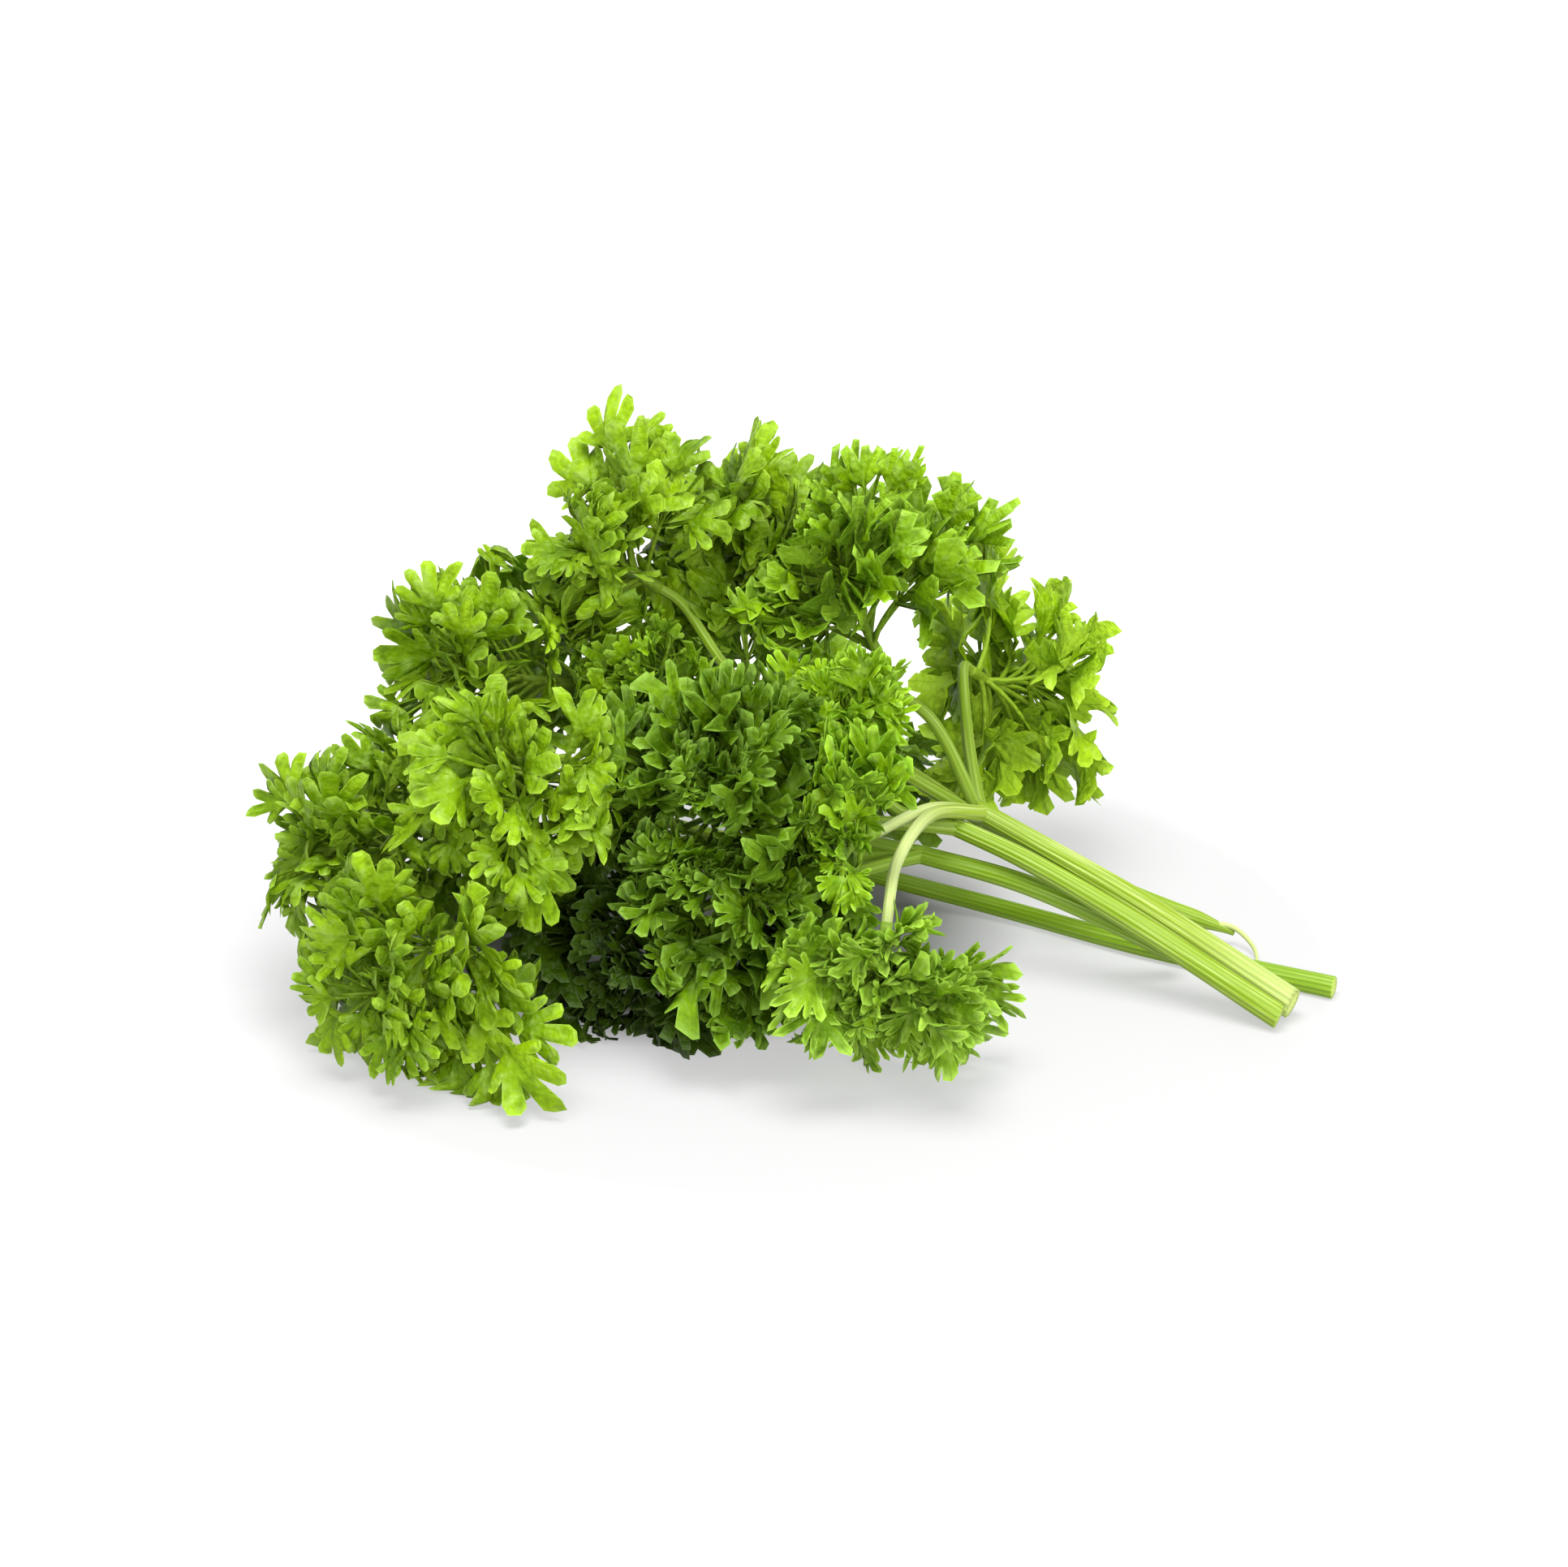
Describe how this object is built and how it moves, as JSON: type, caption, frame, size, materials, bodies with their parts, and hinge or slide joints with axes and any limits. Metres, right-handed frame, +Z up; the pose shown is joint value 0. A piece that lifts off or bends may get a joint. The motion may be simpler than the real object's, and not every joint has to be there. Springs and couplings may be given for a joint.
{
  "type": "parsley bunch",
  "caption": "Loose bunch of curly parsley lying on its side: ribbed leaf stalks with cut ends together, carrying a mound of ruffled, finger-lobed leaves.",
  "frame": {"origin": "centre of the bounding box's base, on the surface that the bunch lies on", "axes": "+Z up, +X towards the cut ends of the stalks, -Y towards the side where the curliest leaves hang over the table"},
  "size_m": [0.1731, 0.1378, 0.0879],
  "materials": {
    "stalk": "satin, moist skin with fine ribs",
    "leaf": "satin, thin ruffled blades"
  },
  "bodies": {
    "root": {"stalk_front": "stalk", "stalk_beside": "stalk", "stalk_under": "stalk", "stalk_low": "stalk", "stalk_torn": "stalk", "spray_top": "leaf", "spray_top_left": "leaf", "spray_left": "leaf", "spray_left_hand": "leaf", "spray_front_left": "leaf", "spray_middle": "leaf", "spray_heart": "leaf", "spray_front": "leaf", "spray_fan": "leaf", "spray_arch": "leaf", "spray_right_low": "leaf", "spray_top_right": "leaf", "spray_right": "leaf", "spray_crown": "leaf", "spray_back_left": "leaf", "spray_back": "leaf", "spray_back_low": "leaf", "spray_left_low": "leaf", "spray_inner": "leaf"}
  },
  "joints": []
}
